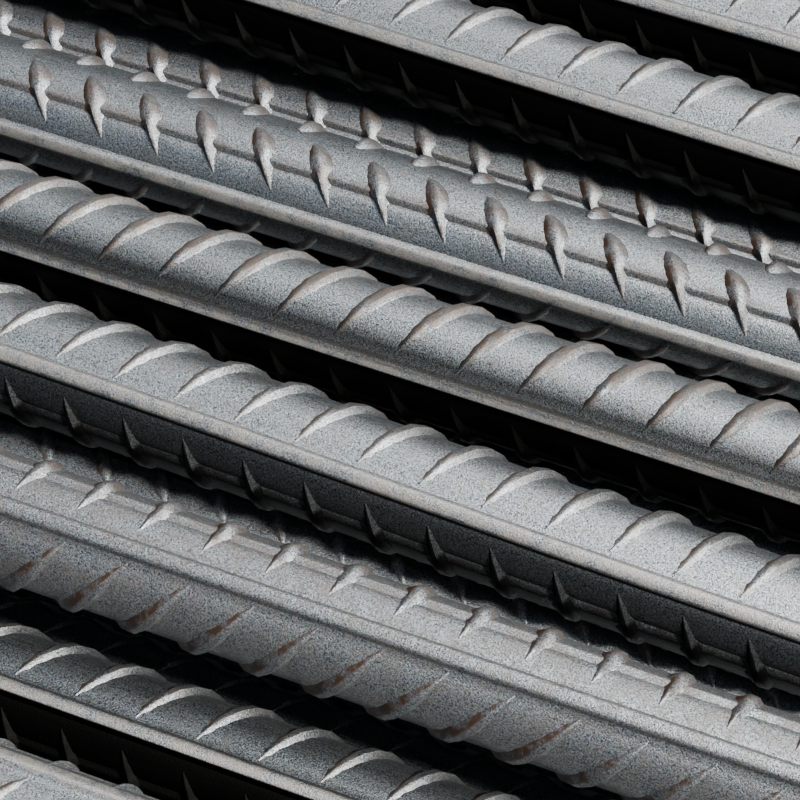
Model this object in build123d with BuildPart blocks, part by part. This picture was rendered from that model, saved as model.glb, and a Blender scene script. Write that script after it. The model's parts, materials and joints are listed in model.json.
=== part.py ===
from build123d import *
import math
import os

os.makedirs("parts", exist_ok=True)

# A bundle of hot-rolled ribbed reinforcing bars, 16 mm nominal, held by two steel straps.
# X runs along the bars, +Y is the far side, +Z is up, and Z 0 is the floor under the straps.

# The rolled section of one bar: the band's crown lies just inside the core's circle, its edges
# stand above it
core_radius = 7.75
bead_height = 0.9
bead_crest_width = 3.0
bead_flank_run = 0.7
band_half_width = 5.5
band_edge_step = 0.64
band_crown_drop = 0.15
band_step_run = 0.25

# The bars' length, and how far their ends stand out of line
bar_length = 1000.0
end_stagger = 6.0
stagger_steps = 9
stagger_stride = 4

# How the bars lie: touching bars keep their axes a rib's height further apart than their cores
rib_room = 0.85
bottom_gap = 1.9
laid_spacing = 2 * core_radius + rib_room
bottom_pitch = 2 * core_radius + bottom_gap
bottom_turns = (130.0, 130.0, 120.0, 90.0, 140.0, 135.0, 130.0, 90.0, 0.0, 0.0, 0.0, 0.0)

# A few bars are bent a little to each side in turn, in a whole number of bends
wide_sway = 1.5
slight_sway = 1.0
bends = 5
bend_wave = bar_length / bends

# Each bar of the two upper layers, nearest first: where it lies across the bundle in pitches of
# the bottom layer, the turn of its bead about X from +Y, and its sway to each side of its line
middle_layer = [
    (-5.11, 125.0, 0.0),
    (-4.14, 135.0, 0.0),
    (-2.94, 99.0, 0.0),
    (-1.44, 0.0, 0.0),
    (-0.22, 180.0, 0.0),
    (0.82, 175.0, 0.0),
    (2.31, 335.0, 0.0),
    (3.39, 180.0, 0.0),
    (4.43, 45.0, 0.0),
    (5.40, 225.0, 0.0),
]
top_layer = [
    (-3.97, 225.0, 0.0),
    (-1.96, 280.0, 0.0),
    (-0.82, 115.0, -wide_sway),
    (0.22, 133.0, 0.0),
    (1.36, 332.0, 0.0),
    (2.83, 125.0, -slight_sway),
    (3.87, 128.0, 0.0),
]

# The straps: flat steel bands, each closed by a folded seal, pulled over the bars' ribs
strap_width = 19.0
strap_thickness = 0.8
rib_clearance = 1.1
strap_reach = core_radius + rib_clearance
strap_offset = 0.33 * bar_length
seal_length = 32.0
seal_wall = 0.7
seal_clearance = 0.1


def rolled_section(x, y, z, turn):
    """The section across a bar: a round core, a bead each side, a raised band on one half."""
    crest_u = core_radius + bead_height
    crest_v = bead_crest_width / 2
    root_v = crest_v + bead_flank_run
    root_u = math.sqrt(core_radius**2 - root_v**2)
    edge_v = math.sqrt(core_radius**2 - band_half_width**2) + band_edge_step
    crown_v = core_radius - band_crown_drop
    foot_u = band_half_width + band_step_run
    foot_v = math.sqrt(core_radius**2 - foot_u**2)
    side_angle = (math.atan2(root_v, root_u) + math.atan2(foot_v, foot_u)) / 2
    side_u = core_radius * math.cos(side_angle)
    side_v = core_radius * math.sin(side_angle)
    to_bead = (0, math.cos(math.radians(turn)), math.sin(math.radians(turn)))
    with BuildSketch(Plane(origin=(x, y, z), x_dir=to_bead, z_dir=(1, 0, 0))) as section:
        with BuildLine():
            Line((crest_u, -crest_v), (crest_u, crest_v))
            Line((crest_u, crest_v), (root_u, root_v))
            ThreePointArc((root_u, root_v), (side_u, side_v), (foot_u, foot_v))
            Line((foot_u, foot_v), (band_half_width, edge_v))
            ThreePointArc((band_half_width, edge_v), (0, crown_v), (-band_half_width, edge_v))
            Line((-band_half_width, edge_v), (-foot_u, foot_v))
            ThreePointArc((-foot_u, foot_v), (-side_u, side_v), (-root_u, root_v))
            Line((-root_u, root_v), (-crest_u, crest_v))
            Line((-crest_u, crest_v), (-crest_u, -crest_v))
            Line((-crest_u, -crest_v), (-root_u, -root_v))
            ThreePointArc((-root_u, -root_v), (0, -core_radius), (root_u, -root_v))
            Line((root_u, -root_v), (crest_u, -crest_v))
        make_face()
    return section.sketch


def straight_bar(x_start, y, z, turn):
    with BuildPart() as bar:
        extrude(rolled_section(x_start, y, z, turn), amount=bar_length)
    return bar.part


def swaying_bar(x_start, y, z, turn, sway):
    """A bar bent a little to each side in turn: tangent arcs about its own line."""
    half_chord = bend_wave / 2
    depth = abs(sway)
    bend_radius = (half_chord**2 + depth**2) / (2 * depth)
    bend_angle = math.copysign(math.degrees(math.asin(half_chord / bend_radius)), sway)
    with BuildPart() as bar:
        with BuildLine(Plane.XY.offset(z)):
            run = JernArc((x_start, y - sway), (1, 0), bend_radius, bend_angle)
            side = -1
            for bend in range(1, bends):
                run = JernArc(run @ 1, run % 1, bend_radius, side * 2 * bend_angle)
                side = -side
            JernArc(run @ 1, run % 1, bend_radius, side * bend_angle)
        sweep(rolled_section(x_start, y - sway, z, turn))
    return bar.part


def laid_height(y, sway, below):
    """How high a bar's axis comes to lie at y on the bars below it."""
    heights = []
    for other_y, other_z, other_sway in below:
        across = max(abs(y - other_y) - abs(sway) - abs(other_sway), 0)
        if across < laid_spacing:
            heights.append(other_z + math.sqrt(laid_spacing**2 - across**2))
    return max(heights)


# Where every bar lies: name, Y, Z, turn and sway
bars = []
laid = []
floor_height = strap_thickness + strap_reach
for number, turn in enumerate(bottom_turns):
    y = bottom_pitch * (number - (len(bottom_turns) - 1) / 2)
    bars.append((f"bottom_bar_{number + 1:02d}", y, floor_height, turn, 0.0))
    laid.append((y, floor_height, 0.0))
for layer_name, layer in (("middle_bar", middle_layer), ("top_bar", top_layer)):
    carried = list(laid)
    for number, (place, turn, sway) in enumerate(layer):
        y = place * bottom_pitch
        z = laid_height(y, sway, carried)
        bars.append((f"{layer_name}_{number + 1:02d}", y, z, turn, sway))
        laid.append((y, z, sway))

# The bars, each pushed a little along its length as a handled bundle is
for number, (name, y, z, turn, sway) in enumerate(bars):
    step = (number * stagger_stride) % stagger_steps
    shift = end_stagger * (2 * step / (stagger_steps - 1) - 1)
    x_start = shift - bar_length / 2
    if sway:
        bar = swaying_bar(x_start, y, z, turn, sway)
    else:
        bar = straight_bar(x_start, y, z, turn)
    bar.label = name
    export_step(bar, f"parts/{name}.step")
    print(f"{name} y {y:.2f} z {z:.2f} turn {turn:.0f} sway {sway:.1f}")

# The straps: each follows the outer bars all round and is drawn tight between them
rings = [Pos(y, z) for y, z, sway in laid]
for side, strap_x in (("left", -strap_offset), ("right", strap_offset)):
    with BuildPart() as strap:
        with BuildSketch(Plane.YZ.offset(strap_x - strap_width / 2)) as band:
            with BuildSketch(mode=Mode.PRIVATE) as outer_rings:
                with Locations(*rings):
                    Circle(strap_reach + strap_thickness)
            with BuildSketch(mode=Mode.PRIVATE) as inner_rings:
                with Locations(*rings):
                    Circle(strap_reach)
            make_hull(outer_rings.sketch.edges())
            make_hull(inner_rings.sketch.edges(), mode=Mode.SUBTRACT)
        extrude(amount=strap_width)
    strap.part.label = f"{side}_strap"
    export_step(strap.part, f"parts/{side}_strap.step")

    # The seal: a flat sleeve folded round the strap on its longest span over the top
    spans = band.sketch.face().outer_wire().edges().filter_by(GeomType.LINE)
    top_spans = spans.filter_by(lambda span: span.center().Z > 2 * floor_height)
    top_span = top_spans.sort_by(SortBy.LENGTH)[-1]
    along = top_span % 0.5
    outward = along.cross(Vector(1, 0, 0))
    if outward.Z < 0:
        outward = -outward
    seat = (top_span @ 0.5) - outward * strap_thickness / 2
    seat = Vector(strap_x, seat.Y, seat.Z)
    slot_width = strap_width + 2 * seal_clearance
    slot_height = strap_thickness + 2 * seal_clearance
    with BuildPart() as seal:
        with BuildSketch(Plane(origin=seat, x_dir=(1, 0, 0), z_dir=along)):
            Rectangle(slot_width + 2 * seal_wall, slot_height + 2 * seal_wall)
            Rectangle(slot_width, slot_height, mode=Mode.SUBTRACT)
        extrude(amount=seal_length / 2, both=True)
    seal.part.label = f"{side}_strap_seal"
    export_step(seal.part, f"parts/{side}_strap_seal.step")
    print(side, strap.part.bounding_box(), seal.part.bounding_box())
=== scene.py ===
import json
import math

import bpy
from mathutils import Matrix, Vector

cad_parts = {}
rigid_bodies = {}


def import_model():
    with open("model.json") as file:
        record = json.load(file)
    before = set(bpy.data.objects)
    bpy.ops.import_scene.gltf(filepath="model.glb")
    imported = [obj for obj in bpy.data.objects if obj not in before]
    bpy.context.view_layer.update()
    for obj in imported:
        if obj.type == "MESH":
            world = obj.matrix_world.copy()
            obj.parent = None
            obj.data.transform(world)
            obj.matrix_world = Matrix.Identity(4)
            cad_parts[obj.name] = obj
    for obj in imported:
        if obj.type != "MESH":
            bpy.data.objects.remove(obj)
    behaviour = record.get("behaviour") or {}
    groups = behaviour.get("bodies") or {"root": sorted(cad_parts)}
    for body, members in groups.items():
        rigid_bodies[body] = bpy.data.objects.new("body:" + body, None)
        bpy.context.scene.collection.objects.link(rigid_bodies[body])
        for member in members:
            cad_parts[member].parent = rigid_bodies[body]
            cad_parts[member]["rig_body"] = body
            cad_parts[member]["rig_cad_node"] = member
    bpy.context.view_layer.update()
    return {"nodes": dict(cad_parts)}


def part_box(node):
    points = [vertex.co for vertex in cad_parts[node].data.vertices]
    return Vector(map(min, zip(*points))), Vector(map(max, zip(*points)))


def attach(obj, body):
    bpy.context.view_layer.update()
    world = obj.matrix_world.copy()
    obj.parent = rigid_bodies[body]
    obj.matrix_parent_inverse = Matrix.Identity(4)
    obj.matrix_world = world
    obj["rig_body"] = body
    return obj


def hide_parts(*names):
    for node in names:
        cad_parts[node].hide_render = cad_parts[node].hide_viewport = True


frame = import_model()
bpy.ops.object.select_all(action="DESELECT")

# Ribbed reinforcing bars.
# Each is a 16 mm bar hot-rolled from plain carbon steel, then cut to length in a shear. The rolls
# press a bead along each side, a raised band on one half, and three rows of slanting ribs.
mm = 0.001
bar_length = 1000 * mm

# The rolled section and its ribs, in mm
core_radius = 7.75
band_crown_radius = 10.83
band_crown_centre = -3.23
rib_pitch = 8.09


def core_point(angle):
    """A point of the round core, as U towards the bead and V towards the band, in mm."""
    return (core_radius * math.cos(math.radians(angle)), core_radius * math.sin(math.radians(angle)))


def band_point(u):
    """A point of the raised band, which is flatter than the core, in mm."""
    return (u, band_crown_centre + math.sqrt(band_crown_radius**2 - u**2))


# One side of the rolled section, from the middle of the plain half up to the middle of the band
side_outline = (
    [core_point(angle) for angle in range(-84, -24, 6)]
    + [core_point(-18), (7.6, -1.36), (7.86, -1.16), (8.26, -1.04), (8.5, -0.86), (8.62, -0.5)]
    + [(8.65, 0.0), (8.62, 0.5), (8.5, 0.82), (8.26, 0.98), (7.86, 1.08), (7.6, 1.24)]
    + [core_point(angle) for angle in (12, 16, 22, 28, 33, 38)]
    + [(5.66, 5.04), (5.64, 5.6), (5.6, 5.92), (5.48, 6.08), (5.2, 6.24)]
    + [band_point(u) for u in (4.4, 3.3, 2.2, 1.1)]
)
outline = (
    [(0.0, -core_radius)]
    + side_outline
    + [band_point(0.0)]
    + [(-u, v) for u, v in reversed(side_outline)]
)


def surface_radius(angle):
    """How far the rolled section's surface is from the bar's axis in this direction, in mm."""
    angle = (angle + 90) % 360 - 90
    for (u1, v1), (u2, v2) in zip(outline, outline[1:] + outline[:1]):
        from_angle = (math.degrees(math.atan2(v1, u1)) + 90) % 360 - 90
        to_angle = (math.degrees(math.atan2(v2, u2)) + 90) % 360 - 90
        if to_angle < from_angle:
            to_angle += 360
        if from_angle <= angle <= to_angle:
            share = (angle - from_angle) / max(to_angle - from_angle, 1e-6)
            return math.hypot(u1, v1) * (1 - share) + math.hypot(u2, v2) * share
    return core_radius


def add_attribute(piece, name, values):
    """Stores one number a vertex, for the material to read."""
    made = piece.data.attributes.new(name, "FLOAT", "POINT")
    made.data.foreach_set("value", values)


# How much of its bar's painted shade the band's edge and the ribs take, against the flat steel
band_edge_share = 1.12
rib_flank_share = 1.12
rib_over_bead_share = 0.8


def ramp(value, start, end):
    """How far a value has gone from start towards end, from 0 to 1."""
    return max(0.0, min(1.0, (value - start) / (end - start)))


def over_bead_share(angle):
    """1 on the plain half next to its bead, less further round."""
    return min(ramp(angle, -2, -4), ramp(angle, -46, -20))


def flank_share(angle):
    """1 on the flank between the bead and the band, and a little more on the band's edge."""
    if 44.5 < angle < 51:
        return band_edge_share
    return min(ramp(angle, 4, 8), ramp(angle, 96, 80))


def select_only(*pieces):
    """Selects these pieces alone, with the first one active."""
    bpy.ops.object.select_all(action="DESELECT")
    for piece in pieces:
        piece.select_set(True)
    bpy.context.view_layer.objects.active = pieces[0]


# The core: the section's outline, extruded to the bar's length
bpy.ops.mesh.primitive_circle_add(vertices=len(outline), radius=core_radius * mm, fill_type="NGON")
core = bpy.context.object
core.name = "bar_core"
for vertex, (u, v) in zip(core.data.vertices, outline):
    vertex.co = Vector((0, u * mm, v * mm))
bpy.ops.object.mode_set(mode="EDIT")
bpy.ops.mesh.select_all(action="SELECT")
bpy.ops.mesh.extrude_region_move(TRANSFORM_OT_translate={"value": (bar_length, 0, 0)})
bpy.ops.mesh.select_all(action="SELECT")
bpy.ops.mesh.normals_make_consistent(inside=False)
bpy.ops.object.mode_set(mode="OBJECT")
bead_wear, band_edge, near_flank, over_bead = [], [], [], []
for vertex in core.data.vertices:
    u, v = abs(vertex.co.y) / mm, vertex.co.z / mm
    bead_wear.append(ramp(u, 7.6, 8.5))
    band_edge.append(1.0 if u > 5.0 and 5.0 < v < 6.3 else 0.0)
    # Where the flank's painted shade and the painted shade over the bead fall on the core
    angle = math.degrees(math.atan2(vertex.co.z, vertex.co.y))
    near_flank.append(flank_share(angle))
    over_bead.append(over_bead_share(angle))
add_attribute(core, "near_flank", near_flank)
add_attribute(core, "over_bead", over_bead)
add_attribute(core, "bead_wear", bead_wear)
add_attribute(core, "band_edge", band_edge)
for name in ("rib_height", "rib_side", "rib_head"):
    add_attribute(core, name, [0.0] * len(core.data.vertices))

# The ribs of each row, as stations round the bar: direction from the bead in degrees, the crest's
# radius, half the foot's width and half the crest's width in mm
plain_row = [
    (-13, 7.76, 0.12, 0.03),
    (-24, 8.04, 0.36, 0.12),
    (-39, 8.32, 0.66, 0.26),
    (-55, 8.50, 0.90, 0.40),
    (-72, 8.58, 1.04, 0.50),
    (-90, 8.60, 1.08, 0.54),
    (-108, 8.58, 1.04, 0.50),
    (-125, 8.50, 0.90, 0.40),
    (-141, 8.32, 0.66, 0.26),
    (-156, 8.04, 0.36, 0.12),
    (-167, 7.76, 0.12, 0.03),
]
band_row = [
    (20, 7.76, 0.10, 0.03),
    (27, 8.04, 0.26, 0.09),
    (35, 8.36, 0.46, 0.17),
    (43, 8.64, 0.68, 0.27),
    (50, 8.78, 1.00, 0.42),
    (57, 8.79, 1.16, 0.52),
    (65, 8.62, 1.10, 0.48),
    (73, 8.30, 0.85, 0.32),
    (81, 7.70, 0.35, 0.10),
]
far_row = [(180 - angle, crest, foot, top) for angle, crest, foot, top in band_row]

# How a rib is drawn across, in mm: the fillet at its foot, what lies inside the core, and the
# wider foot on its far side. The fillet's top is given as a share of the rib's rise.
fillet_reach = 0.3
fillet_sink = 0.1
fillet_top = 0.16
root_sink = 0.5
far_foot_spread = 1.3
coarse_reach = 0.1
coarse_sink = 0.15
least_rise = 0.02

# What the material reads from a rib: how high its flank counts, how worn the plain half's crests
# are, and the place and reach of a band rib's rusty head, in degrees from the band's middle
flank_height = 0.3
crest_wear = 0.3
head_place = 29
head_reach = 16


def rib(name, stations, centre_line, fine):
    """One closed rib, laid along its centre line and sunk a little into the core."""
    ring = 7 if fine else 4
    kept = stations if fine else stations[::2]
    bpy.ops.mesh.primitive_cylinder_add(vertices=ring, radius=1, depth=len(kept) - 1)
    made = bpy.context.object
    made.name = name
    bpy.ops.object.mode_set(mode="EDIT")
    bpy.ops.mesh.select_mode(type="EDGE")
    bpy.ops.mesh.select_all(action="DESELECT")
    bpy.ops.object.mode_set(mode="OBJECT")
    for edge in made.data.edges:
        low, high = (made.data.vertices[number].co.z for number in edge.vertices)
        edge.select = abs(low - high) > 0.5
    bpy.ops.object.mode_set(mode="EDIT")
    bpy.ops.mesh.subdivide(number_cuts=len(kept) - 2)
    bpy.ops.object.mode_set(mode="OBJECT")
    heights, sides, heads, flanks, overs = [], [], [], [], []
    worn = crest_wear if stations[0][0] < 0 else 0.0
    for vertex in made.data.vertices:
        station = round(vertex.co.z + (len(kept) - 1) / 2)
        place = round(math.atan2(vertex.co.x, vertex.co.y) / (2 * math.pi / ring)) % ring
        angle, crest, foot, top = kept[station]
        ground = surface_radius(angle)
        rise = max(crest - ground, least_rise)
        if fine:
            across, radius, height = [
                (0.0, ground - root_sink, 0.0),
                (foot + fillet_reach, ground - fillet_sink, 0.0),
                (foot, ground + fillet_top * rise, flank_height),
                (top, crest, 1.0),
                (-top, crest, 1.0),
                (-far_foot_spread * foot, ground + fillet_top * rise, flank_height),
                (-far_foot_spread * foot - fillet_reach, ground - fillet_sink, 0.0),
            ][place]
        else:
            across, radius, height = [
                (foot + coarse_reach, ground - coarse_sink, 0.0),
                (top, crest, 1.0),
                (-top, crest, 1.0),
                (-foot - coarse_reach, ground - coarse_sink, 0.0),
            ][place]
        x, lean = centre_line(angle)
        turned = math.radians(angle) + across * math.sin(lean) / core_radius
        x = x + across * math.cos(lean)
        y, z = radius * mm * math.cos(turned), radius * mm * math.sin(turned)
        vertex.co = Vector((x * mm, y, z))
        heights.append(height)
        sides.append(across / (foot + fillet_reach))
        from_head = abs(abs(angle - 90) - head_place)
        heads.append(1 - ramp(from_head, 0, head_reach) if angle > 0 else 0.0)
        # Where the flank's painted shade and the painted shade over the bead fall on this rib
        flanks.append(flank_share(angle) * rib_flank_share)
        overs.append(over_bead_share(angle) * rib_over_bead_share)
    add_attribute(made, "near_flank", flanks)
    add_attribute(made, "over_bead", overs)
    add_attribute(made, "rib_head", heads)
    add_attribute(made, "bead_wear", [worn * height for height in heights])
    add_attribute(made, "band_edge", [0.0] * len(heights))
    add_attribute(made, "rib_height", heights)
    add_attribute(made, "rib_side", sides)
    bpy.ops.object.mode_set(mode="EDIT")
    bpy.ops.mesh.select_all(action="SELECT")
    bpy.ops.mesh.normals_make_consistent(inside=False)
    bpy.ops.object.mode_set(mode="OBJECT")
    return made


# The lines of the rows: each row's slant from square and the middle of the near row, in degrees,
# and the plain row's bow, in mm, at this reach from its middle
plain_slant = 31
near_slant = 29
far_slant = 20
near_middle = 52
plain_bow = 0.25
bow_reach = 9.5

# Ribs more than the bar's length takes, half of them before its near end
spare_ribs = 6
pitch = rib_pitch * mm


def plain_line(angle):
    """The slightly bowed line of a rib on the plain half: X in mm and its lean from square."""
    reach = math.radians(angle + 90) * core_radius
    x = -math.tan(math.radians(plain_slant)) * reach + plain_bow * (reach / bow_reach) ** 2
    slope = -math.tan(math.radians(plain_slant)) + 2 * plain_bow * reach / bow_reach**2
    return x, -math.atan(slope)


def near_line(angle):
    """The line of a rib between the band and its near bead."""
    slope = math.tan(math.radians(near_slant))
    return slope * math.radians(angle - near_middle) * core_radius, -math.atan(slope)


def far_line(angle):
    """The line of a rib between the band and its far bead, half a pitch along."""
    slope = -math.tan(math.radians(far_slant))
    x = slope * math.radians(angle - (180 - near_middle)) * core_radius + rib_pitch / 2
    return x, -math.atan(slope)


def rib_field(name, rows, fine):
    """Every rib of these rows, along a little more than a bar's length."""
    select_only(*[rib(f"{name}_row", stations, line, fine) for stations, line in rows])
    bpy.ops.object.join()
    field = bpy.context.object
    field.name = name
    repeat = field.modifiers.new("rows", "ARRAY")
    repeat.count = math.ceil(bar_length / pitch) + spare_ribs
    repeat.use_relative_offset = False
    repeat.use_constant_offset = True
    repeat.constant_offset_displace = (pitch, 0, 0)
    bpy.ops.object.modifier_apply(modifier=repeat.name)
    return field


fields = {}
for fine in (True, False):
    plain_ribs = rib_field("plain_half_ribs", [(plain_row, plain_line)], fine)
    band_ribs = rib_field("band_half_ribs", [(band_row, near_line), (far_row, far_line)], fine)
    fields[fine] = (plain_ribs, band_ribs)


def linear(hex_colour):
    """An sRGB hex colour as linear RGBA."""
    parts = [int(hex_colour[place : place + 2], 16) / 255 for place in (0, 2, 4)]
    return tuple(p / 12.92 if p <= 0.04045 else ((p + 0.055) / 1.055) ** 2.4 for p in parts) + (1.0,)


def add_node(tree, kind, settings=None, inputs=None):
    """Adds a node with its settings, and its inputs as values or as links."""
    made = tree.nodes.new(kind)
    for name, value in (settings or {}).items():
        setattr(made, name, value)
    for name, value in (inputs or {}).items():
        if isinstance(value, bpy.types.NodeSocket):
            tree.links.new(value, made.inputs[name])
        else:
            made.inputs[name].default_value = value
    return made


# Hot-rolled steel under mill scale: a hard blue-grey skin, half metal to the eye, mottled and
# finely pitted, with brown rust where water stands on the ribs and dusty, rubbed beads. Each rib's
# left foot, away from the high lamp, takes brown rust with painted shade. The flanks beside a few
# beads, and the plain half over some beads, carry near-black painted shade.
scale_steel = bpy.data.materials.new("hot-rolled steel with mill scale and light rust")
scale_steel.use_nodes = True
tree = scale_steel.node_tree
shader = tree.nodes["Principled BSDF"]
place = add_node(tree, "ShaderNodeTexCoord").outputs["Object"]
grain = add_node(
    tree,
    "ShaderNodeTexNoise",
    inputs={"Vector": place, "Scale": 4600, "Detail": 3, "Roughness": 0.7},
)
patches = add_node(
    tree,
    "ShaderNodeTexNoise",
    inputs={"Vector": place, "Scale": 420, "Detail": 4, "Roughness": 0.65},
)
along = add_node(
    tree,
    "ShaderNodeMapping",
    inputs={"Vector": place, "Scale": (90, 1400, 1400)},
)
streaks = add_node(
    tree,
    "ShaderNodeTexNoise",
    inputs={"Vector": along.outputs[0], "Scale": 1, "Detail": 3},
)
rib_marks = ("rib_height", "rib_side", "rib_head", "rib_rust", "bar_rust", "band_edge")
bead_marks = ("bead_wear", "near_flank", "flank_painted_shade", "over_bead", "bead_side_painted_shade")
painted = {
    name: add_node(tree, "ShaderNodeAttribute", {"attribute_name": name}).outputs["Fac"]
    for name in rib_marks + bead_marks
}
mottle = add_node(
    tree,
    "ShaderNodeMapRange",
    inputs={"Value": grain.outputs["Fac"], "From Min": 0.36, "From Max": 0.64},
)
scale_colour = add_node(
    tree,
    "ShaderNodeMix",
    {"data_type": "RGBA"},
    {0: mottle.outputs[0], 6: linear("282b2f"), 7: linear("9ca1a3")},
)
warm = add_node(
    tree,
    "ShaderNodeMapRange",
    inputs={"Value": patches.outputs["Fac"], "From Min": 0.45, "From Max": 0.75, "To Max": 0.45},
)
warm_scale = add_node(
    tree,
    "ShaderNodeMix",
    {"data_type": "RGBA"},
    {0: warm.outputs[0], 6: scale_colour.outputs[2], 7: linear("7d756d")},
)
# Brown rust with painted shade on each rib's left foot, the side away from the high lamp
left_foot_rust_and_shade = add_node(
    tree,
    "ShaderNodeMapRange",
    inputs={"Value": painted["rib_side"], "From Min": -0.05, "From Max": -0.45},
)
edge_rust = add_node(
    tree,
    "ShaderNodeMath",
    {"operation": "MULTIPLY"},
    {0: painted["band_edge"], 1: 0.55},
)
head_rust = add_node(
    tree,
    "ShaderNodeMath",
    {"operation": "MAXIMUM"},
    {0: edge_rust.outputs[0], 1: painted["rib_head"]},
)
crest_rust = add_node(
    tree,
    "ShaderNodeMath",
    {"operation": "MULTIPLY"},
    {0: painted["rib_height"], 1: painted["rib_rust"]},
)
high_rust = add_node(
    tree,
    "ShaderNodeMath",
    {"operation": "MAXIMUM"},
    {0: head_rust.outputs[0], 1: crest_rust.outputs[0]},
)
ribs_rust_and_shade = add_node(
    tree,
    "ShaderNodeMath",
    {"operation": "MAXIMUM"},
    {0: left_foot_rust_and_shade.outputs[0], 1: high_rust.outputs[0]},
)
bars_rust_and_shade = add_node(
    tree,
    "ShaderNodeMath",
    {"operation": "MAXIMUM"},
    {0: ribs_rust_and_shade.outputs[0], 1: painted["bar_rust"]},
)
rust_noise = add_node(
    tree,
    "ShaderNodeMapRange",
    inputs={"Value": patches.outputs["Fac"], "From Min": 0.25, "From Max": 0.55},
)
# Rust, with the painted shade of the ribs' left feet, broken into patches
rust = add_node(
    tree,
    "ShaderNodeMath",
    {"operation": "MULTIPLY"},
    {0: bars_rust_and_shade.outputs[0], 1: rust_noise.outputs[0]},
)
coloured = add_node(
    tree,
    "ShaderNodeMix",
    {"data_type": "RGBA"},
    {0: rust.outputs[0], 6: warm_scale.outputs[2], 7: linear("38271b")},
)
# Painted shade: flanks beside the beads of a few bars, with their ribs and band edge, go near black
flank_dark = add_node(
    tree,
    "ShaderNodeMath",
    {"operation": "MULTIPLY", "use_clamp": True},
    {0: painted["near_flank"], 1: painted["flank_painted_shade"]},
)
# Painted shade on the plain half next to the bead of a few bars
low_dark = add_node(
    tree,
    "ShaderNodeMath",
    {"operation": "MULTIPLY"},
    {0: painted["over_bead"], 1: painted["bead_side_painted_shade"]},
)
dark = add_node(
    tree,
    "ShaderNodeMath",
    {"operation": "MAXIMUM"},
    {0: flank_dark.outputs[0], 1: low_dark.outputs[0]},
)
bead_mottle = add_node(
    tree,
    "ShaderNodeMath",
    {"operation": "MULTIPLY"},
    {0: painted["bead_wear"], 1: rust_noise.outputs[0]},
)
bead_dust = add_node(
    tree,
    "ShaderNodeMath",
    {"operation": "MULTIPLY"},
    {0: bead_mottle.outputs[0], 1: 0.55},
)
dusted = add_node(
    tree,
    "ShaderNodeMix",
    {"data_type": "RGBA"},
    {0: bead_dust.outputs[0], 6: coloured.outputs[2], 7: linear("857b70")},
)
# Mixes in the near-black colour of the painted shade
darkened = add_node(
    tree,
    "ShaderNodeMix",
    {"data_type": "RGBA"},
    {0: dark.outputs[0], 6: dusted.outputs[2], 7: linear("060605")},
)
tints = add_node(
    tree,
    "ShaderNodeTexNoise",
    inputs={"Vector": place, "Scale": 3000, "Detail": 2},
)
tinted = add_node(
    tree,
    "ShaderNodeMix",
    {"data_type": "RGBA", "blend_type": "OVERLAY"},
    {0: 0.28, 6: darkened.outputs[2], 7: tints.outputs["Color"]},
)
powdery = add_node(
    tree,
    "ShaderNodeMath",
    {"operation": "MAXIMUM"},
    {0: rust.outputs[0], 1: bead_dust.outputs[0]},
)
dull = add_node(
    tree,
    "ShaderNodeMath",
    {"operation": "SUBTRACT", "use_clamp": True},
    {0: powdery.outputs[0], 1: dark.outputs[0]},
)
metal = add_node(
    tree,
    "ShaderNodeMapRange",
    inputs={"Value": dull.outputs[0], "To Min": 0.97, "To Max": 0.3},
)
polish = add_node(
    tree,
    "ShaderNodeMapRange",
    inputs={"Value": streaks.outputs["Fac"], "To Min": 0.32, "To Max": 0.5},
)
rough = add_node(
    tree,
    "ShaderNodeMath",
    {"operation": "MULTIPLY_ADD"},
    {0: dark.outputs[0], 1: 0.12, 2: polish.outputs[0]},
)
relief = add_node(
    tree,
    "ShaderNodeBump",
    inputs={"Height": grain.outputs["Fac"], "Strength": 0.9, "Distance": 0.00008},
)
tree.links.new(tinted.outputs[2], shader.inputs["Base Color"])
tree.links.new(metal.outputs[0], shader.inputs["Metallic"])
tree.links.new(rough.outputs[0], shader.inputs["Roughness"])
tree.links.new(relief.outputs[0], shader.inputs["Normal"])

# Sheared carbon steel: the ends show bare metal, dull and lightly rusted, scored by the blade.
cut_steel = bpy.data.materials.new("sheared carbon steel with light rust")
cut_steel.use_nodes = True
tree = cut_steel.node_tree
shader = tree.nodes["Principled BSDF"]
place = add_node(tree, "ShaderNodeTexCoord").outputs["Object"]
scoring = add_node(
    tree,
    "ShaderNodeMapping",
    inputs={"Vector": place, "Rotation": (0.35, 0, 0), "Scale": (300, 2600, 300)},
)
scores = add_node(
    tree,
    "ShaderNodeTexNoise",
    inputs={"Vector": scoring.outputs[0], "Scale": 1, "Detail": 3},
)
stain = add_node(
    tree,
    "ShaderNodeTexNoise",
    inputs={"Vector": place, "Scale": 220, "Detail": 5, "Roughness": 0.65},
)
rusted = add_node(
    tree,
    "ShaderNodeMapRange",
    inputs={"Value": stain.outputs["Fac"], "From Min": 0.42, "From Max": 0.62},
)
cut_colour = add_node(
    tree,
    "ShaderNodeMix",
    {"data_type": "RGBA"},
    {0: rusted.outputs[0], 6: linear("8d8c8a"), 7: linear("7a5a44")},
)
cut_metal = add_node(
    tree,
    "ShaderNodeMapRange",
    inputs={"Value": rusted.outputs[0], "To Min": 0.9, "To Max": 0.25},
)
cut_relief = add_node(
    tree,
    "ShaderNodeBump",
    inputs={"Height": scores.outputs["Fac"], "Strength": 0.6, "Distance": 0.0001},
)
tree.links.new(cut_colour.outputs[2], shader.inputs["Base Color"])
tree.links.new(cut_metal.outputs[0], shader.inputs["Metallic"])
tree.links.new(cut_relief.outputs[0], shader.inputs["Normal"])
shader.inputs["Roughness"].default_value = 0.5


# How near a point counts as being at a bar's end, how finely meshes are cut, and the distance of
# the band's two edges from the bar's axis
end_reach = 0.01 * mm
cut_limit = 0.001 * mm
band_edge_from, band_edge_to = 8.1 * mm, 8.35 * mm


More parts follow.
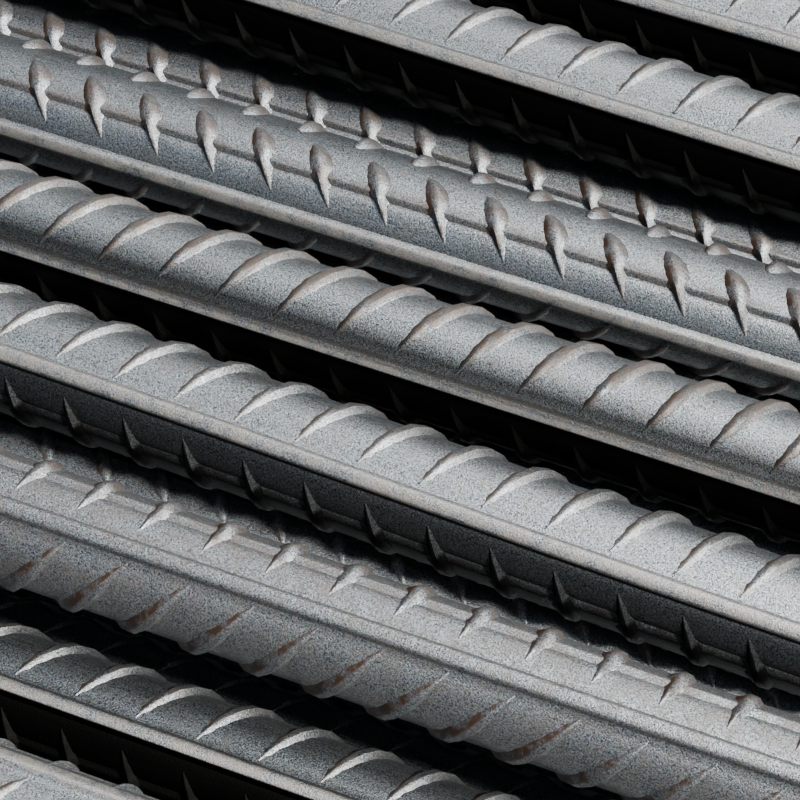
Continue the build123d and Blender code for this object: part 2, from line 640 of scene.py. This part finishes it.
def end_section(node):
    """Where a bar's own solid ends: its near end's X, its axis there and the turn of its bead."""
    low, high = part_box(node)
    ends = [v.co for v in frame["nodes"][node].data.vertices if v.co.x < low.x + end_reach]
    reach, first, second = max(
        ((a - b).length, index_a, index_b)
        for index_a, a in enumerate(ends)
        for index_b, b in enumerate(ends)
    )
    axis = (ends[first] + ends[second]) / 2
    band_edges = [
        point - axis
        for point in ends
        if band_edge_from < (point - axis).length < band_edge_to
    ]
    to_band = sum(band_edges, Vector((0, 0, 0)))
    return low.x, axis.y, axis.z, math.atan2(to_band.z, to_band.y) - math.pi / 2


def cut_ribs(starts, fine):
    """One bar's ribs, each row begun at its own start, and cut off square at the bar's ends."""
    rows = []
    for field, start in zip(fields[fine], starts):
        row = field.copy()
        row.data = row.data.copy()
        bpy.context.collection.objects.link(row)
        row.data.transform(Matrix.Translation((start - spare_ribs / 2 * pitch, 0, 0)))
        rows.append(row)
    select_only(*reversed(rows))
    bpy.ops.object.join()
    bpy.ops.object.mode_set(mode="EDIT")
    for cut, direction in ((0.0, -1), (bar_length, 1)):
        bpy.ops.mesh.select_all(action="SELECT")
        bpy.ops.mesh.bisect(
            plane_co=(cut, 0, 0),
            plane_no=(direction, 0, 0),
            use_fill=True,
            clear_outer=True,
            threshold=cut_limit,
        )
    bpy.ops.object.mode_set(mode="OBJECT")
    return bpy.context.object


def divide_lengthwise(bar):
    """Cuts a plain core across in even steps, so that it can be bent."""
    select_only(bar)
    for edge in bar.data.edges:
        first, second = (bar.data.vertices[index].co.x for index in edge.vertices)
        edge.select = abs(first - second) > 0.5 * bar_length
    for face in bar.data.polygons:
        face.select = False
    bpy.ops.object.mode_set(mode="EDIT")
    bpy.ops.mesh.subdivide(number_cuts=bend_cuts)
    bpy.ops.object.mode_set(mode="OBJECT")


def turn_round(bar):
    """Turns a bar end for end, and with it which side of a rib is its left one."""
    bar.data.transform(Matrix.Translation((-bar_length / 2, 0, 0)))
    bar.data.transform(Matrix.Rotation(math.pi, 4, "Z"))
    bar.data.transform(Matrix.Translation((bar_length / 2, 0, 0)))
    side = bar.data.attributes["rib_side"]
    values = [0.0] * len(bar.data.vertices)
    side.data.foreach_get("value", values)
    side.data.foreach_set("value", [-value for value in values])


def bend(bar, sway):
    """Bends a bar to each side of its line in turn, in tangent arcs, as its solid is bent."""
    bend_wave = bar_length / bends
    half = bend_wave / 2
    depth = abs(sway)
    arc = (half**2 + depth**2) / (2 * depth)
    for vertex in bar.data.vertices:
        number = round(vertex.co.x / bend_wave)
        offset = math.sqrt(arc**2 - (vertex.co.x - number * bend_wave) ** 2) - (arc - depth)
        sign = -1 if number % 2 == 0 else 1
        vertex.co.y += math.copysign(1, sway) * (sign * offset + depth)


# The bars that show their ribs most, with the place along X, in mm, of the ribs on their plain
# half and on their band half, which two rolls press
rib_places = {
    "top_bar_01": (3.4, 0.0),
    "top_bar_02": (3.6, 7.5),
    "top_bar_03": (5.0, 3.9),
    "top_bar_04": (4.2, 1.0),
    "top_bar_05": (0.0, 3.9),
    "top_bar_06": (2.9, 2.0),
    "top_bar_07": (5.0, 6.0),
    "middle_bar_03": (4.7, 1.0),
    "middle_bar_07": (0.0, 3.1),
}
turned_end_for_end = {"top_bar_05", "middle_bar_07"}

# The other bars' ribs start these strides further on from one bar to the next, in mm
plain_stride, band_stride = 2.9, 4.7

# The bars that sway, and how they are bent and cut for it
sways = {"top_bar_03": -1.5 * mm, "top_bar_06": -1.0 * mm}
bends = 5
bend_cuts = 49

# How rusty single bars are, and how much painted shade lies on their flanks and over their beads:
# what most bars have of each, and the bars that have something else
bar_marks = {
    "bar_rust": (0.0, {"top_bar_02": 0.35}),
    "flank_painted_shade": (
        0.0,
        {
            "middle_bar_03": 5.0,
            "top_bar_03": 0.84,
            "top_bar_04": 5.0,
            "top_bar_06": 3.0,
            "top_bar_07": 3.0,
        },
    ),
    "bead_side_painted_shade": (
        0.0,
        {"top_bar_04": 0.9, "middle_bar_03": 0.3, "top_bar_06": 0.2, "top_bar_07": 0.2},
    ),
    "rib_rust": (
        0.2,
        {
            "top_bar_01": 0.3,
            "top_bar_02": 0.35,
            "top_bar_04": 0.8,
            "top_bar_05": 0.6,
            "top_bar_06": 0.35,
        },
    ),
}
rusted_beads = {"top_bar_02"}

bar_names = sorted(name for name in frame["nodes"] if "_bar_" in name)
for number, name in enumerate(bar_names):
    x_start, axis_y, axis_z, turn = end_section(name)
    starts = []
    for rib_place in rib_places.get(name, (number * plain_stride, number * band_stride)):
        if name in turned_end_for_end:
            starts.append((rib_place * mm + x_start + bar_length) % pitch)
        else:
            starts.append((rib_place * mm - x_start) % pitch)
    ribs = cut_ribs(starts, name in rib_places)
    bar = core.copy()
    bar.data = core.data.copy()
    bpy.context.collection.objects.link(bar)
    bar.name = bar.data.name = f"ribbed_{name}"
    if name in sways:
        divide_lengthwise(bar)
    select_only(bar, ribs)
    bpy.ops.object.join()
    if name in turned_end_for_end:
        turn_round(bar)
    bar.data.transform(Matrix.Rotation(turn, 4, "X"))
    if name in sways:
        bend(bar, sways[name])
    bar.data.transform(Matrix.Translation((x_start, axis_y, axis_z)))
    bar.data.materials.clear()
    bar.data.materials.append(scale_steel)
    bar.data.materials.append(cut_steel)
    for face in bar.data.polygons:
        from_start = face.center.x - x_start
        at_end = abs(from_start) < end_reach or abs(from_start - bar_length) < end_reach
        face.material_index = 1 if at_end else 0
    if name in rusted_beads:
        bar.data.attributes["bead_wear"].data.foreach_set("value", [0.0] * len(bar.data.vertices))
    for mark, (usual, others) in bar_marks.items():
        add_attribute(bar, mark, [others.get(name, usual)] * len(bar.data.vertices))
    bpy.ops.object.shade_smooth_by_angle(angle=math.radians(50))
    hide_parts(name)
    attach(bar, "root")
for spare in (core, *fields[True], *fields[False]):
    bpy.data.objects.remove(spare)

# The straps: flat spring-steel bands, blued in the furnace and pulled tight round the bars.
# Each keeps its solid's shape, with the sharp edges rounded a little.
blued_steel = bpy.data.materials.new("blued steel strapping")
blued_steel.use_nodes = True
tree = blued_steel.node_tree
shader = tree.nodes["Principled BSDF"]
place = add_node(tree, "ShaderNodeTexCoord").outputs["Object"]
blotches = add_node(
    tree,
    "ShaderNodeTexNoise",
    inputs={"Vector": place, "Scale": 160, "Detail": 4},
)
blue = add_node(
    tree,
    "ShaderNodeMix",
    {"data_type": "RGBA"},
    {0: blotches.outputs["Fac"], 6: linear("24282f"), 7: linear("3e444e")},
)
tree.links.new(blue.outputs[2], shader.inputs["Base Color"])
shader.inputs["Metallic"].default_value = 0.9
shader.inputs["Roughness"].default_value = 0.38


def solid_copy(node, name):
    """A CAD node's shape as a mesh of its own, with its corners joined and faced outwards."""
    copy = frame["nodes"][node].copy()
    copy.data = frame["nodes"][node].data.copy()
    copy.parent = None
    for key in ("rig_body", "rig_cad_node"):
        del copy[key]
    bpy.context.collection.objects.link(copy)
    copy.name = copy.data.name = name
    select_only(copy)
    bpy.ops.object.mode_set(mode="EDIT")
    bpy.ops.mesh.select_all(action="SELECT")
    bpy.ops.mesh.remove_doubles(threshold=0.01 * mm)
    bpy.ops.mesh.normals_make_consistent(inside=False)
    bpy.ops.object.mode_set(mode="OBJECT")
    return copy


def round_edges(piece, width):
    """Rounds the active piece's sharp edges a little, and shades it smooth."""
    rounded = piece.modifiers.new("rounded edges", "BEVEL")
    rounded.width = width
    rounded.segments = 2
    rounded.limit_method = "ANGLE"
    rounded.angle_limit = math.radians(60)
    bpy.ops.object.modifier_apply(modifier=rounded.name)
    bpy.ops.object.shade_smooth_by_angle(angle=math.radians(40))


strap_edge = 0.2 * mm
for node in ("left_strap", "right_strap"):
    strap = solid_copy(node, f"blued_{node}")
    round_edges(strap, strap_edge)
    strap.data.materials.clear()
    strap.data.materials.append(blued_steel)
    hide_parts(node)
    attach(strap, "root")

# The seals: sleeves of zinc-coated sheet steel folded round the overlapped strap.
# Each keeps its solid's shape, with the folds rounded a little.
zinc_steel = bpy.data.materials.new("zinc-coated sheet steel")
zinc_steel.use_nodes = True
tree = zinc_steel.node_tree
shader = tree.nodes["Principled BSDF"]
place = add_node(tree, "ShaderNodeTexCoord").outputs["Object"]
spangle = add_node(
    tree,
    "ShaderNodeTexVoronoi",
    inputs={"Vector": place, "Scale": 500},
)
zinc = add_node(
    tree,
    "ShaderNodeMix",
    {"data_type": "RGBA"},
    {0: spangle.outputs["Distance"], 6: linear("a9adb0"), 7: linear("c9cccd")},
)
tree.links.new(zinc.outputs[2], shader.inputs["Base Color"])
shader.inputs["Metallic"].default_value = 1.0
shader.inputs["Roughness"].default_value = 0.36

seal_edge = 0.15 * mm
for node in ("left_strap_seal", "right_strap_seal"):
    seal = solid_copy(node, f"folded_{node}")
    round_edges(seal, seal_edge)
    seal.data.materials.clear()
    seal.data.materials.append(zinc_steel)
    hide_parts(node)
    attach(seal, "root")

# The stage: a plain pale floor under the bundle.
bpy.ops.mesh.primitive_plane_add(size=12, location=(0, 0, 0))
floor = bpy.context.object
floor.name = "floor"
pale_floor = bpy.data.materials.new("plain pale floor")
pale_floor.use_nodes = True
pale_floor.node_tree.nodes["Principled BSDF"].inputs["Base Color"].default_value = linear("cfcfcb")
pale_floor.node_tree.nodes["Principled BSDF"].inputs["Roughness"].default_value = 0.8
floor.data.materials.append(pale_floor)

# Soft daylight: a broad high lamp leaning to the right, a weak one from the far side that
# softens its shadows, and a weak blue fill all round.


def add_lamp(name, turn, lean, energy, angle):
    """A broad sun: its turn up from the far side and its lean to the right, in degrees."""
    turn, lean = math.radians(turn), math.radians(lean)
    to_lamp = Vector(
        (
            math.sin(lean),
            math.cos(lean) * math.cos(turn),
            math.cos(lean) * math.sin(turn),
        )
    )
    bpy.ops.object.light_add(type="SUN", location=to_lamp * 2)
    lamp = bpy.context.object
    lamp.name = name
    lamp.rotation_euler = to_lamp.to_track_quat("Z", "Y").to_euler()
    lamp.data.energy = energy
    lamp.data.angle = math.radians(angle)
    return lamp


high_lamp = add_lamp("high_lamp", turn=89, lean=38, energy=12.6, angle=9)
high_lamp.data.color = (1.0, 0.99, 0.97)
add_lamp("far_lamp", turn=45, lean=15, energy=4.0, angle=20)
world = bpy.data.worlds.new("soft fill")
world.use_nodes = True
tree = world.node_tree
place = add_node(tree, "ShaderNodeTexCoord").outputs["Generated"]
height = add_node(tree, "ShaderNodeSeparateXYZ", inputs={0: place}).outputs["Z"]
sky = add_node(
    tree,
    "ShaderNodeMapRange",
    {"interpolation_type": "SMOOTHSTEP"},
    {"Value": height, "From Min": 0.1, "From Max": 1.0, "To Min": 0.03, "To Max": 1.0},
)
tree.nodes["Background"].inputs["Color"].default_value = linear("c3d3ea")
tree.links.new(sky.outputs[0], tree.nodes["Background"].inputs["Strength"])
bpy.context.scene.world = world

# The camera: close over the bundle's middle, looking down across the bars.
azimuth, elevation, roll = math.radians(20), math.radians(64.3), math.radians(-0.39)
aim = Vector((0, -2.87 * mm, 40 * mm))
distance = 254.8
back = Vector(
    (
        math.sin(azimuth) * math.cos(elevation),
        -math.cos(azimuth) * math.cos(elevation),
        math.sin(elevation),
    )
)
level_right = Vector((math.cos(azimuth), math.sin(azimuth), 0))
level_up = back.cross(level_right)
right = level_right * math.cos(roll) + level_up * math.sin(roll)
up = level_up * math.cos(roll) - level_right * math.sin(roll)
eye = aim + back * distance * mm
bpy.ops.object.camera_add(location=eye)
camera = bpy.context.object
camera.name = "camera"
camera.matrix_world = Matrix.Translation(eye) @ Matrix((right, up, back)).transposed().to_4x4()
camera.data.sensor_width = 36
camera.data.lens = 90
camera.data.clip_start = 0.01
camera.data.clip_end = 50
bpy.context.scene.camera = camera
